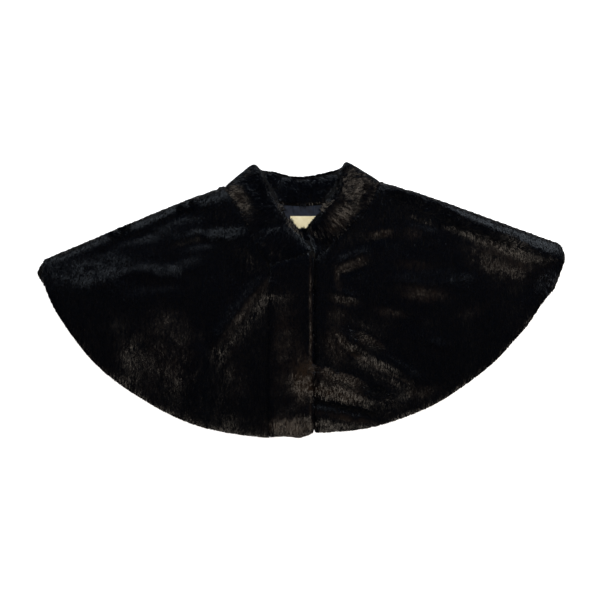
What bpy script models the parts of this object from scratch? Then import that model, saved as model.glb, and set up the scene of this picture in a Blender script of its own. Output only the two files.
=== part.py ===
"""A short cape of black fur-pile cloth with a stand collar and a band down each front edge.

It lies flat on a table with its fronts over its back, as laid out to be looked at from above. X runs across the
cape, Y from the hem to the collar and Z up. Right and left are the wearer's. Tables are in millimetres.
"""

import math
from collections import namedtuple

import bmesh
import bpy
import numpy as np
from mathutils import Matrix, Vector

MM = 0.001

# Cloth thicknesses, with the fur pile as it lies
PILE_CLOTH = 9.0
COVERED_CLOTH = 5.0
COLLAR_OUTER = 8.0
COLLAR_INNER = 6.0
LINING = 0.8
LABEL = 0.6

# Gaps between pieces
SEAM_GAP = 0.3
FRONT_NECK_GAP = 0.9
BACK_NECK_GAP = 1.8
AIR = 0.9
BAND_GAP = 0.8

# Heights above the table of the layers' undersides, and of the shoulder seams
LINING_LOW = PILE_CLOTH + SEAM_GAP
FRONT_LOW = LINING_LOW + LINING + AIR
BAND_LOW = FRONT_LOW + COVERED_CLOTH + BAND_GAP
SHOULDER = 10.0

# The collar's middle surface: under the neck, over it, and the fold at each side that joins the two
COLLAR_LOW = COLLAR_OUTER + SEAM_GAP / 2
FOLD_RADIUS = 8.0
COLLAR_HIGH = COLLAR_LOW + 2 * FOLD_RADIUS
COLLAR_FOLD = COLLAR_LOW + FOLD_RADIUS

# How the cloth's edges round off: the reach of the round, and the share of the thickness left at the edge
ROUND_REACH = 9.0
SEAM_SHARE = 0.8
FREE_SHARE = 0.3
SHOULDER_SHARE = 0.12
EDGE_INSETS = (0.0, 3.0, 9.0)
TIP_INSETS = (0.0, 3.0, 9.0, 16.0, 24.0)

# How far the collar and the bands hold up the cloth beside them
NECK_REACH = 75.0
SHOULDER_REACH = 75.0
FRONT_SHOULDER_RISE = COLLAR_FOLD - SHOULDER
BACK_SHOULDER_SHARE = 0.7
BACK_SHOULDER_RISE = BACK_SHOULDER_SHARE * FRONT_SHOULDER_RISE
BAND_REACH = 38.0
BAND_RISE = 2.5
BAND_TOP_RISE = 2.7
BAND_TOP_REACH = 90.0
PANEL_OVER_SEAM = 0.5
SHOULDER_BOW = 10.5
SHOULDER_BOW_EASE = 0.4
SHOULDER_BOW_POWER = 6

# Sections of the collar, from its seam at the neck to its free edge. Level is the height of its middle surface,
# and outer and inner are shares of the two cloths' full thickness, less where another layer lies on them.
CollarRow = namedtuple("CollarRow", "seam_x seam_y edge_x edge_y level outer inner")
RIGHT_COLLAR = (
    CollarRow(-53, 62, 19, 86, 23.2, 1.0, 0.62),
    CollarRow(-68, 88, 3, 106, 23.4, 1.0, 0.62),
    CollarRow(-83, 116, -18, 131, 23.8, 1.0, 0.7),
    CollarRow(-97, 146, -35, 162, COLLAR_HIGH, 1.0, 0.9),
    CollarRow(-110, 165, -58, 191, COLLAR_HIGH, 1.0, 1.0),
    CollarRow(-120, 180, -69, 221, COLLAR_HIGH, 1.0, 1.0),
)
LEFT_COLLAR = (
    CollarRow(125, 187, 65, 223, COLLAR_HIGH, 1.0, 1.0),
    CollarRow(113, 169, 62, 195, 23.5, 1.0, 1.0),
    CollarRow(98, 147, 45, 171, 22.5, 1.0, 1.0),
    CollarRow(72, 123, 24, 142, 19.5, 0.9, 0.8),
    CollarRow(47, 96, -5, 116, 14.6, 0.5, 0.5),
    CollarRow(22, 71, -41, 96, 14.2, 0.5, 0.5),
)
BACK_COLLAR = (
    RIGHT_COLLAR[-1]._replace(level=COLLAR_LOW),
    CollarRow(-62, 170, -44, 217, COLLAR_LOW, 1.0, 1.0),
    CollarRow(0, 164, 0, 209, COLLAR_LOW, 1.0, 1.0),
    CollarRow(64, 171, 43, 217, COLLAR_LOW, 1.0, 1.0),
    LEFT_COLLAR[0]._replace(level=COLLAR_LOW),
)
COLLAR_STATIONS = 9
FOLD_STATIONS = 5
COLLAR_LINES = 5

# Hems, as distances from the point that each panel flares from. Angles are from straight down the cape.
HemRow = namedtuple("HemRow", "angle radius")
FLARE_Y = 186.0
FRONT_FLARE_X = 25.5
RIGHT_HEM = (
    HemRow(3.95, 420), HemRow(30, 429), HemRow(52, 439), HemRow(66, 443), HemRow(70.5, 440), HemRow(74.1, 431),
)
LEFT_HEM = (
    HemRow(-0.35, 410), HemRow(16, 412), HemRow(36, 415), HemRow(50, 420), HemRow(60, 426), HemRow(69, 432),
    HemRow(74, 437), HemRow(77.6, 427),
)
BACK_HEM = (
    HemRow(-75, 456), HemRow(-72.8, 472), HemRow(-69.5, 468), HemRow(-66, 459), HemRow(-45, 434),
    HemRow(0, 403), HemRow(45, 424), HemRow(62, 446), HemRow(67, 459), HemRow(72.8, 472), HemRow(75.5, 464),
    HemRow(78.2, 454),
)

# The bands' lower ends, across each band from the wearer's right
BandRow = namedtuple("BandRow", "x hem_y")
RIGHT_BAND_HEM = (BandRow(-54.1, -232), BandRow(-25, -229.5), BandRow(-6, -234), BandRow(20.4, -225))
LEFT_BAND_HEM = (BandRow(-50, -219), BandRow(22.3, -219))

# The largest folds that the cloth has fallen into, as soft ridges along straight lines
FoldRow = namedtuple("FoldRow", "from_x from_y to_x to_y height half_width")
FOLDS = (
    FoldRow(24, -36, 197, -144, 7.0, 11.0),
    FoldRow(-6, -122, 140, -174, 8.0, 14.0),
    FoldRow(4, -190, 146, -216, 5.0, 9.0),
    FoldRow(60, 62, 112, 82, 4.0, 10.0),
    FoldRow(-58, 33, -143, -79, 6.0, 17.0),
    FoldRow(-176, -77, -172, -212, 5.0, 15.0),
    FoldRow(-124, -80, -114, -205, 4.5, 14.0),
    FoldRow(238, 138, 430, 74, 5.0, 11.0),
)
FOLD_END = 26.0
COVERED_FOLD_SHARE = 0.35

# How many lines of points each panel has, across and from the neck to the hem
RIGHT_FRONT_LINES = (21, 24)
LEFT_FRONT_LINES = (26, 32)
BACK_LINES = (25, 9)
BAND_LINES = (5, 22)
LABEL_LINES = (4, 3)

# How many points a hem is measured at, and the turn between faces that is drawn as an edge
HEM_SAMPLES = 24
SHARP_ANGLE = math.radians(50)

# Which of the back's lines the lining starts and ends on
LINING_SIDE_LINES = 4
LINING_NECK_LINE = 1
LINING_HEM_LINE = -2

LABEL_WIDTH, LABEL_HEIGHT = 50.0, 28.0
LABEL_X, LABEL_TOP_Y = 6.0, 143.0

# Each finish as its colour, roughness and metallic value
Look = namedtuple("Look", "colour roughness metallic")
FUR = Look((0.010, 0.010, 0.011), 0.6, 0.0)
SATIN = Look((0.022, 0.023, 0.028), 0.35, 0.0)
WOVEN_LABEL = Look((0.72, 0.62, 0.40), 0.7, 0.0)


def smooth_step(share):
    share = min(max(share, 0.0), 1.0)
    return share * share * (3 - 2 * share)


def rounded(distance, least):
    """Share of the full thickness at a distance from an edge: a quarter round that starts from least."""
    inside = 1 - min(max(distance / ROUND_REACH, 0.0), 1.0)
    return least + (1 - least) * math.sqrt(1 - inside * inside)


def lines_along(length, middle_lines, insets=EDGE_INSETS):
    """Shares of a length: a few near each end, where the edge rounds off, and even ones between."""
    near = [inset / length for inset in insets]
    middle = np.linspace(near[-1], 1 - near[-1], middle_lines)
    return near[:-1] + list(middle) + [1 - share for share in reversed(near[:-1])]


def smooth_rows(rows, count):
    """count rows on a smooth curve through the given rows, as many between each two of them."""
    table = np.array(rows, float)
    padded = np.vstack([2 * table[0] - table[1], table, 2 * table[-1] - table[-2]])
    found = []
    for at in np.linspace(0, len(table) - 1, count):
        k = min(int(at), len(table) - 2)
        t = at - k
        before, first, second, after = padded[k : k + 4]
        bend = 2 * before - 5 * first + 4 * second - after
        twist = 3 * first - before - 3 * second + after
        found.append(first + 0.5 * (t * (second - before) + t * t * bend + t**3 * twist))
    return found


def fold_height(x, y):
    """How far the folds lift the cloth at a point."""
    total = 0.0
    for fold in FOLDS:
        start = Vector((fold.from_x, fold.from_y))
        run = Vector((fold.to_x, fold.to_y)) - start
        offset = Vector((x, y)) - start
        along = offset.dot(run.normalized())
        aside = (offset - along * run.normalized()).length
        ends = smooth_step((along + FOLD_END / 2) / FOLD_END)
        ends *= smooth_step((run.length + FOLD_END / 2 - along) / FOLD_END)
        total += fold.height * ends * math.exp(-((aside / fold.half_width) ** 2))
    return total


def hem_radius(rows, angle):
    """A hem's radius at an angle, eased from row to row."""
    for first, second in zip(rows, rows[1:]):
        if angle <= second.angle:
            break
    share = smooth_step((angle - first.angle) / (second.angle - first.angle))
    return first.radius + (second.radius - first.radius) * share


def hem_curve(rows, centre_x, side):
    """The hem as a function of a share along it. Side is -1 for the wearer's right and 1 for the left."""

    def at(share):
        angle = rows[0].angle + (rows[-1].angle - rows[0].angle) * share
        radius = hem_radius(rows, angle)
        turn = math.radians(angle)
        return Vector((side * (centre_x + radius * math.sin(turn)), FLARE_Y - radius * math.cos(turn)))

    return at


Section = namedtuple("Section", "seam edge out outer inner")


def flat_sections(rows, out):
    """Sections of a stretch of collar that lies flat, facing up or down."""
    made = []
    for row in smooth_rows(rows, COLLAR_STATIONS):
        row = CollarRow(*row)
        seam = Vector((row.seam_x, row.seam_y, row.level))
        edge = Vector((row.edge_x, row.edge_y, row.level))
        made.append(Section(seam, edge, Vector((0, 0, out)), row.outer, row.inner))
    return made


def fold_sections(row, side):
    """Sections round the fold at one side of the collar, from its upper layer to its lower one."""
    seam = Vector((row.seam_x, row.seam_y, COLLAR_FOLD))
    edge = Vector((row.edge_x, row.edge_y, COLLAR_FOLD))
    up = Vector((0, 0, 1))
    away = (edge - seam).normalized().cross(up) * side
    made = []
    for step in range(1, FOLD_STATIONS + 1):
        turn = math.pi * step / (FOLD_STATIONS + 1)
        out = away * math.sin(turn) + up * math.cos(turn)
        made.append(Section(seam + out * FOLD_RADIUS, edge + out * FOLD_RADIUS, out, 1.0, 1.0))
    return made


def collar_sections():
    """The collar from its right front end round the back to its left front end."""
    right_fold = fold_sections(RIGHT_COLLAR[-1], -1)
    left_fold = fold_sections(LEFT_COLLAR[0], 1)
    right = flat_sections(RIGHT_COLLAR, 1) + right_fold
    back = flat_sections(BACK_COLLAR, -1)
    left = left_fold[::-1] + flat_sections(LEFT_COLLAR, 1)
    return right, back, left


def seam_curve(sections, gap):
    """The neck seam of a panel, just off the collar's seam, as a function of a share along it."""
    points = [s.seam + (s.seam - s.edge).normalized() * gap for s in sections]
    lengths = [0.0]
    for first, second in zip(points, points[1:]):
        lengths.append(lengths[-1] + (second - first).length)

    def at(share):
        wanted = share * lengths[-1]
        return Vector([np.interp(wanted, lengths, [p[axis] for p in points]) for axis in range(3)])

    at.length = lengths[-1]
    return at


class Panel:
    """Cloth that spans from a seam at the neck to a hem, as a wall between an underside and an upper side.

    first and last say what its two sides are: a seam, a free edge, or a shoulder where front and back meet.
    """

    def __init__(self, seam, hem, thickness, centre, first, last, shoulder_gap=0.0, shoulder_rise=0.0):
        self.seam, self.hem = seam, hem
        self.thickness, self.centre = thickness, centre
        self.first, self.last = first, last
        self.shoulder_gap, self.shoulder_rise = shoulder_gap, shoulder_rise
        shares = np.linspace(0, 1, HEM_SAMPLES)
        self.hem_length = sum((hem(b) - hem(a)).length for a, b in zip(shares, shares[1:]))

    def length(self, across):
        return (self.hem(across) - self.seam(across).to_2d()).length

    def width(self, along):
        return self.seam.length * (1 - along) + self.hem_length * along

    def side(self, kind, distance, from_neck, low, high):
        """The wall's underside and upper side once one of its sides has rounded off."""
        middle = (low + high) / 2
        least = {"seam": SEAM_SHARE, "free": FREE_SHARE, "shoulder": SHOULDER_SHARE}[kind]
        if kind == "shoulder":
            rise = self.shoulder_rise * max(0.0, 1 - from_neck / SHOULDER_REACH)
            middle = SHOULDER + rise + self.shoulder_gap
        share = rounded(distance, least)
        return middle + (low - middle) * share, middle + (high - middle) * share

    def place(self, across, along):
        """The underside and the upper side at a share across and along the panel."""
        seam, hem = self.seam(across), self.hem(across)
        length, width = self.length(across), self.width(along)
        x, y = seam.to_2d() * (1 - along) + hem * along
        bow = SHOULDER_BOW * math.sin(math.pi * along**SHOULDER_BOW_EASE)
        if self.first == "shoulder":
            y += bow * (1 - across) ** SHOULDER_BOW_POWER
        if self.last == "shoulder":
            y += bow * across**SHOULDER_BOW_POWER
        centre = self.centre(seam, across * width, along * length, x, y)
        ends = min(rounded(along * length, SEAM_SHARE), rounded((1 - along) * length, FREE_SHARE))
        low, high = centre - self.thickness / 2 * ends, centre + self.thickness / 2 * ends
        low, high = self.side(self.first, across * width, along * length, low, high)
        low, high = self.side(self.last, (1 - across) * width, along * length, low, high)
        return Vector((x, y, low)), Vector((x, y, high))

    def grid(self, lines):
        """Two grids of points, for the underside and for the upper side."""
        insets = TIP_INSETS if self.last == "shoulder" else EDGE_INSETS
        across_count = lines[0] + 2 * len(insets) - 2
        low, high = [], []
        for i in range(across_count):
            nominal = i / (across_count - 1)
            pairs = []
            for along in lines_along(self.length(nominal), lines[1]):
                pairs.append(self.place(lines_along(self.width(along), lines[0], insets)[i], along))
            low.append([pair[0] for pair in pairs])
            high.append([pair[1] for pair in pairs])
        return low, high


def front_centre(seam, from_front, from_neck, x, y):
    """Height of the middle of a front: it lies on the lining, held up by the collar and lifted by folds."""
    rest = FRONT_LOW + PILE_CLOTH / 2
    held = (seam.z + PANEL_OVER_SEAM - rest) * (1 - smooth_step(from_neck / NECK_REACH))
    return rest + held + fold_height(x, y)


def right_front_centre(seam, from_front, from_neck, x, y):
    """The right front also rises to the band that laps over the left one."""
    beside = BAND_RISE * (1 - smooth_step(from_front / BAND_REACH)) * smooth_step(from_neck / NECK_REACH)
    return front_centre(seam, from_front, from_neck, x, y) + beside


def back_centre(seam, from_side, from_neck, x, y):
    """The back lies flat on the table, apart from its corners at the collar's folds."""
    rest = PILE_CLOTH / 2
    held = (seam.z - COLLAR_LOW) * (1 - smooth_step(from_neck / NECK_REACH))
    return rest + held


def right_band_centre(seam, from_front, from_neck, x, y):
    rise = BAND_TOP_RISE * (1 - smooth_step(from_neck / BAND_TOP_REACH))
    return BAND_LOW + PILE_CLOTH / 2 + rise + fold_height(x, y)


def left_band_centre(seam, from_front, from_neck, x, y):
    """The left band lies under the right one and takes up only part of its folds."""
    return FRONT_LOW + COVERED_CLOTH / 2 + COVERED_FOLD_SHARE * fold_height(x, y)


def band_seam(end, before, from_edge):
    """The top of a band, just off the end of the collar, from the wearer's right to the left."""
    away = (end.seam + end.edge - before.seam - before.edge).normalized() * SEAM_GAP
    first, last = (end.edge, end.seam) if from_edge else (end.seam, end.edge)

    def at(share):
        return first.lerp(last, share) + away

    at.length = (last - first).length
    return at


def band_hem(rows):
    def at(share):
        x = rows[0].x + (rows[-1].x - rows[0].x) * share
        return Vector((x, np.interp(x, [row.x for row in rows], [row.hem_y for row in rows])))

    return at


def new_material(name, look):
    material = bpy.data.materials.new(name)
    material.use_nodes = True
    shader = material.node_tree.nodes["Principled BSDF"]
    shader.inputs["Base Color"].default_value = (*look.colour, 1.0)
    shader.inputs["Roughness"].default_value = look.roughness
    shader.inputs["Metallic"].default_value = look.metallic
    return material


def closed_wall(name, low, high, look):
    """A grid drawn out into a closed wall, with its two sides set at the given points."""
    rows, columns = len(low), len(low[0])
    bm = bmesh.new()
    bmesh.ops.create_grid(bm, x_segments=rows - 1, y_segments=columns - 1, size=0.5)
    row_of = bm.verts.layers.int.new("row")
    column_of = bm.verts.layers.int.new("column")
    for vert in bm.verts:
        vert[row_of] = round((vert.co.x + 0.5) * (rows - 1))
        vert[column_of] = round((vert.co.y + 0.5) * (columns - 1))
    drawn = bmesh.ops.extrude_face_region(bm, geom=bm.faces[:])["geom"]
    upper = {item for item in drawn if isinstance(item, bmesh.types.BMVert)}
    for vert in bm.verts:
        points = high if vert in upper else low
        vert.co = points[vert[row_of]][vert[column_of]] * MM
    bmesh.ops.recalc_face_normals(bm, faces=bm.faces[:])
    if bm.calc_volume(signed=True) < 0:
        bmesh.ops.reverse_faces(bm, faces=bm.faces[:])
    mesh = bpy.data.meshes.new(name)
    bm.to_mesh(mesh)
    bm.free()
    mesh.shade_smooth()
    mesh.set_sharp_from_angle(angle=SHARP_ANGLE)
    mesh.materials.append(new_material(name, look))
    made = bpy.data.objects.new(name, mesh)
    bpy.context.scene.collection.objects.link(made)
    return made


def collar_wall(name, sections, side, thickness, share_of):
    """One of the collar's two cloths, on the outer side or the inner side of its middle surface."""
    low, high = [], []
    run = 0.0
    total = sum((b.seam - a.seam).length for a, b in zip(sections, sections[1:]))
    for index, section in enumerate(sections):
        if index:
            run += (section.seam - sections[index - 1].seam).length
        ends = min(rounded(run, SEAM_SHARE), rounded(total - run, SEAM_SHARE))
        height = (section.edge - section.seam).length
        inner_row, outer_row = [], []
        for share in lines_along(height, COLLAR_LINES):
            middle = section.seam.lerp(section.edge, share)
            profile = min(rounded(share * height, SEAM_SHARE), rounded((1 - share) * height, FREE_SHARE), ends)
            reach = SEAM_GAP / 2 + thickness * getattr(section, share_of) * profile
            inner_row.append(middle + section.out * side * SEAM_GAP / 2)
            outer_row.append(middle + section.out * side * reach)
        low.append(inner_row)
        high.append(outer_row)
    return closed_wall(name, low, high, FUR)


def lining_wall(back_high):
    """Satin over the inside of the back, on the back's own points: from the collar to a little above the hem."""
    rows = [row[LINING_NECK_LINE:LINING_HEM_LINE] for row in back_high[LINING_SIDE_LINES:-LINING_SIDE_LINES]]
    low = [[point + Vector((0, 0, SEAM_GAP)) for point in row] for row in rows]
    high = [[point + Vector((0, 0, SEAM_GAP + LINING)) for point in row] for row in rows]
    return closed_wall("back_lining", low, high, SATIN)


def label_wall():
    """The woven label, flat on the lining under the back of the neck."""
    across_lines, along_lines = LABEL_LINES
    base = LINING_LOW + LINING + SEAM_GAP
    low, high = [], []
    for x in np.linspace(LABEL_X - LABEL_WIDTH / 2, LABEL_X + LABEL_WIDTH / 2, across_lines):
        ys = np.linspace(LABEL_TOP_Y, LABEL_TOP_Y - LABEL_HEIGHT, along_lines)
        low.append([Vector((x, y, base)) for y in ys])
        high.append([Vector((x, y, base + LABEL)) for y in ys])
    return closed_wall("neck_label", low, high, WOVEN_LABEL)


def build():
    right, back, left = collar_sections()
    middle = FOLD_STATIONS // 2
    right_seam = seam_curve(right[: COLLAR_STATIONS + middle + 1], FRONT_NECK_GAP)
    left_seam = seam_curve(left[middle:][::-1], FRONT_NECK_GAP)
    back_seam = seam_curve(right[COLLAR_STATIONS + middle :] + back + left[: middle + 1], BACK_NECK_GAP)

    half = SEAM_GAP / 2
    right_hem = hem_curve(RIGHT_HEM, FRONT_FLARE_X, -1)
    left_hem = hem_curve(LEFT_HEM, FRONT_FLARE_X, 1)
    back_hem = hem_curve(BACK_HEM, 0.0, 1)
    over, under = (half, FRONT_SHOULDER_RISE), (-half, BACK_SHOULDER_RISE)
    right_front = Panel(right_seam, right_hem, PILE_CLOTH, right_front_centre, "seam", "shoulder", *over)
    left_front = Panel(left_seam, left_hem, PILE_CLOTH, front_centre, "seam", "shoulder", *over)
    back_panel = Panel(back_seam, back_hem, PILE_CLOTH, back_centre, "shoulder", "shoulder", *under)

    right_top = band_seam(right[0], right[1], False)
    left_top = band_seam(left[-1], left[-2], True)
    right_band = Panel(right_top, band_hem(RIGHT_BAND_HEM), PILE_CLOTH, right_band_centre, "seam", "free")
    left_band = Panel(left_top, band_hem(LEFT_BAND_HEM), COVERED_CLOTH, left_band_centre, "free", "seam")

    back_low, back_high = back_panel.grid(BACK_LINES)
    closed_wall("back", back_low, back_high, FUR)
    lining_wall(back_high)
    label_wall()
    closed_wall("left_front", *left_front.grid(LEFT_FRONT_LINES), FUR)
    closed_wall("left_band", *left_band.grid(BAND_LINES), FUR)
    closed_wall("right_front", *right_front.grid(RIGHT_FRONT_LINES), FUR)
    closed_wall("right_band", *right_band.grid(BAND_LINES), FUR)
    sections = right + back + left
    collar_wall("collar_outer", sections, 1, COLLAR_OUTER, "outer")
    collar_wall("collar_inner", sections, -1, COLLAR_INNER, "inner")


def centre_on_origin():
    """Move the whole cape across the table until its box is centred on the origin."""
    meshes = [made.data for made in bpy.data.objects]
    points = np.array([vert.co for mesh in meshes for vert in mesh.vertices])
    middle = (points.min(axis=0) + points.max(axis=0)) / 2
    for mesh in meshes:
        mesh.transform(Matrix.Translation((-middle[0], -middle[1], 0.0)))


def main():
    for old in list(bpy.data.objects):
        bpy.data.objects.remove(old)
    build()
    centre_on_origin()


main()
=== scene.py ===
# %% [markdown]
# # A short fur cape, laid flat
# The cape is sewn from fur-pile cloth: a flared back and two flared fronts, a band down each front edge and
# a stand collar with fur on both of its sides. It lies on a table with its fronts over its back. The solids
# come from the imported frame. This lesson puts cloth on their form, grows the fur, and adds the satin lining
# and the woven label that show in the neck. Right and left are the wearer's.

# %% Load the frame
import math
from collections import namedtuple

import bmesh
import bpy
import numpy as np
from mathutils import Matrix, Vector
from mathutils.bvhtree import BVHTree


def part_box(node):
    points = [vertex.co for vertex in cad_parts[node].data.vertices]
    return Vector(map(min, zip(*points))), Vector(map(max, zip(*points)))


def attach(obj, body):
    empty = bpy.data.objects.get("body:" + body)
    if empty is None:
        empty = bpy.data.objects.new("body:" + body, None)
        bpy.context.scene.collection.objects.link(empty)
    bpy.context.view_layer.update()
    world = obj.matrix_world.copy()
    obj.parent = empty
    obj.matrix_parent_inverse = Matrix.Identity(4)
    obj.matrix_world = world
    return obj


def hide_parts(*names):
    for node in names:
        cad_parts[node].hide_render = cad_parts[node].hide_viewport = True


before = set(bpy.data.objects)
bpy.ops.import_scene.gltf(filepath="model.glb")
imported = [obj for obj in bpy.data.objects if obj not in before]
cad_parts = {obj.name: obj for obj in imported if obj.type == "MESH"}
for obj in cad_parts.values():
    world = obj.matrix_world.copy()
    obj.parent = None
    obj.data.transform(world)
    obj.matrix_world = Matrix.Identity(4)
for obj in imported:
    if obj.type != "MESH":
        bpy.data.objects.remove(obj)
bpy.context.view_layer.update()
MM = 0.001

# %% [markdown]
# The camera looks straight down, as over a cutting table. A long lens from high up keeps the scale even
# from the hem to the collar. The lens is worked out from what one pixel of the square picture spans on the
# cloth.

# %% Camera
PICTURE_PIXELS = 600
PIXEL_SPAN = 1.7 * MM
CAMERA_HEIGHT = 3.2
CLOTH_HEIGHT = 15 * MM
CAMERA_X, CAMERA_Y = -1.7 * MM, -0.35 * MM
SENSOR_WIDTH = 36.0

lens = bpy.data.cameras.new("camera")
lens.sensor_width = SENSOR_WIDTH
lens.lens = SENSOR_WIDTH * (CAMERA_HEIGHT - CLOTH_HEIGHT) / (PICTURE_PIXELS * PIXEL_SPAN)
camera = bpy.data.objects.new("camera", lens)
camera.location = (CAMERA_X, CAMERA_Y, CAMERA_HEIGHT)
bpy.context.scene.collection.objects.link(camera)
bpy.context.scene.camera = camera
print("camera lens, mm:", round(lens.lens, 1))

# %% [markdown]
# Black fur shows its form only by the light that its hairs throw back. A long cool window stands low beyond
# the collar with a small one beside it, on the left front's side, and a warm lamp hangs high over the cape.
# The light of a far lamp beyond the hem glances over the pile and shows the form to a viewer beyond the
# collar. Hairs that lie towards the hem send their light away from the camera, so the cloth is black except
# where a fold or a brush has turned them.

# %% Light
Lamp = namedtuple("Lamp", "name place aim width height power colour")
LAMPS = (
    Lamp("window", (-0.05, 0.75, 0.30), (0.0, 0.12, 0.0), 1.8, 0.25, 8.0, (0.80, 0.90, 1.0)),
    Lamp("side window", (0.70, 0.66, 0.26), (0.34, 0.11, 0.0), 0.5, 0.2, 2.2, (0.82, 0.91, 1.0)),
    Lamp("far lamp", (0.9, -1.5, 0.6), (0.0, 0.0, 0.0), 1.6, 0.5, 9.0, (1.0, 0.95, 0.88)),
    Lamp("ceiling lamp", (0.2, 0.05, 3.9), (0.05, -0.1, 0.0), 0.9, 0.9, 68.0, (1.0, 0.88, 0.74)),
)
WORLD_LIGHT, WORLD_COLOUR = 0.028, (0.55, 0.78, 1.0, 1.0)

for lamp in LAMPS:
    light = bpy.data.lights.new(lamp.name, "AREA")
    light.shape = "RECTANGLE"
    light.size, light.size_y = lamp.width, lamp.height
    light.energy = lamp.power
    light.color = lamp.colour
    holder = bpy.data.objects.new(lamp.name, light)
    holder.location = lamp.place
    holder.rotation_euler = (Vector(lamp.aim) - Vector(lamp.place)).to_track_quat("-Z", "Y").to_euler()
    holder.visible_camera = False
    bpy.context.scene.collection.objects.link(holder)

world = bpy.data.worlds.new("room")
world.use_nodes = True
background = world.node_tree.nodes["Background"]
background.inputs["Color"].default_value = WORLD_COLOUR
background.inputs["Strength"].default_value = WORLD_LIGHT
bpy.context.scene.world = world
bpy.context.scene.view_settings.view_transform = "Standard"
print("lamps:", [lamp.name for lamp in LAMPS])

# %% [markdown]
# Every material is a node tree. One function turns a colour as it is written for a screen into the linear
# light that the shader works in, and one adds a node, sets it and wires it up. A plain cloth or card clouds
# softly from one colour to another, so one function makes the material of each.

# %% Material helpers
def linear(hex_colour):
    """An sRGB colour such as "1a2b3c" as linear red, green, blue and alpha."""
    channels = [int(hex_colour[at : at + 2], 16) / 255 for at in (0, 2, 4)]
    return (*[c / 12.92 if c <= 0.04045 else ((c + 0.055) / 1.055) ** 2.4 for c in channels], 1.0)


def add_node(tree, kind, values=None, links=None, **settings):
    """A new node with its settings, its sockets' values and the links into it."""
    node = tree.nodes.new(kind)
    for name, value in settings.items():
        setattr(node, name, value)
    for socket, value in (values or {}).items():
        node.inputs[socket].default_value = value
    for socket, source in (links or {}).items():
        tree.links.new(source, node.inputs[socket])
    return node


def new_material(name):
    material = bpy.data.materials.new(name)
    material.use_nodes = True
    return material, material.node_tree, material.node_tree.nodes["Principled BSDF"]


def blend(tree, share, dark, light):
    """A colour between two, by a share from 0 to 1 that comes from another node."""
    colour = add_node(tree, "ShaderNodeMix", {"A": linear(dark), "B": linear(light)}, data_type="RGBA")
    tree.links.new(share, colour.inputs["Factor"])
    return colour.outputs["Result"]


def mottled_material(name, dark, light, mottle, detail, roughness, specular):
    """A material that clouds from one colour to another, in clouds of the mottle's size."""
    material, tree, shader = new_material(name)
    place = add_node(tree, "ShaderNodeTexCoord")
    cloud = add_node(
        tree, "ShaderNodeTexNoise", {"Scale": 1 / mottle, "Detail": detail},
        {"Vector": place.outputs["Object"]},
    )
    tree.links.new(blend(tree, cloud.outputs["Fac"], dark, light), shader.inputs["Base Color"])
    shader.inputs["Roughness"].default_value = roughness
    shader.inputs["Specular IOR Level"].default_value = specular
    return material


print("linear mid grey:", round(linear("808080")[0], 3))

# %% [markdown]
# Acrylic fur pile is thousands of fine fibres that end in soft points. Each blade of the mesh stands for a
# small lock of them. Its tone, from black to a brownish black, is kept on its points. It differs at random
# from lock to lock and from hair to hair, and it also carries the painted light of the brushed patches. How
# far along the blade a point is is kept too, because the colour is darkened towards the root as painted
# shade, for the little light that gets in there.

# %% Fur material
FUR_BLACK, FUR_BROWN = "02040b", "2a2019"
ROOT_SHADE_SHARE = 0.25
FUR_ROUGHNESS, FUR_SPECULAR = 0.27, 0.11


def fur_material():
    material, tree, shader = new_material("acrylic fur pile")
    tone = add_node(tree, "ShaderNodeAttribute", attribute_name="tone")
    reach = add_node(tree, "ShaderNodeAttribute", attribute_name="reach")
    colour = blend(tree, tone.outputs["Fac"], FUR_BLACK, FUR_BROWN)
    # Painted shade: the colour is darkened towards the root of each blade, where little light gets in.
    light = add_node(
        tree, "ShaderNodeMapRange", {"To Min": ROOT_SHADE_SHARE, "To Max": 1.0}, {"Value": reach.outputs["Fac"]},
    )
    shade = add_node(tree, "ShaderNodeVectorMath", links={0: colour}, operation="SCALE")
    tree.links.new(light.outputs["Result"], shade.inputs["Scale"])
    tree.links.new(shade.outputs["Vector"], shader.inputs["Base Color"])
    shader.inputs["Roughness"].default_value = FUR_ROUGHNESS
    shader.inputs["Specular IOR Level"].default_value = FUR_SPECULAR
    return material


FUR = fur_material()
print("made", FUR.name)

# %% [markdown]
# Under the fur is a knitted backing. It shows only as the dark between the locks, so it is matt and nearly
# black, with a fine mottle.

# %% Backing material
BACKING = mottled_material(
    "knitted backing", dark="040405", light="0b0a0a", mottle=3.0 * MM, detail=3.0,
    roughness=0.9, specular=0.1,
)
print("made", BACKING.name)

# %% [markdown]
# The table is a plain sheet of white card. It glows a little, so that it stays white beside the black fur
# without a lamp that would also light the hairs.

# %% Table
TABLE_HALF = 4.0
TABLE_DROP = 0.5 * MM
CARD_GLOW = 0.8


def card_material():
    material = mottled_material(
        "white card", dark="fafafa", light="ffffff", mottle=2.5 * MM, detail=2.0,
        roughness=0.9, specular=0.0,
    )
    shader = material.node_tree.nodes["Principled BSDF"]
    shader.inputs["Emission Color"].default_value = linear("ffffff")
    shader.inputs["Emission Strength"].default_value = CARD_GLOW
    return material


def linked(name, bm, material):
    """A bmesh as an object of the scene, at the origin."""
    mesh = bpy.data.meshes.new(name)
    bm.to_mesh(mesh)
    bm.free()
    mesh.materials.append(material)
    piece = bpy.data.objects.new(name, mesh)
    bpy.context.scene.collection.objects.link(piece)
    return piece


bm = bmesh.new()
bmesh.ops.create_grid(bm, x_segments=1, y_segments=1, size=TABLE_HALF)
bmesh.ops.translate(bm, verts=bm.verts[:], vec=(0, 0, -TABLE_DROP))
table = linked("table", bm, card_material())
print("table, m:", 2 * TABLE_HALF)
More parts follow.
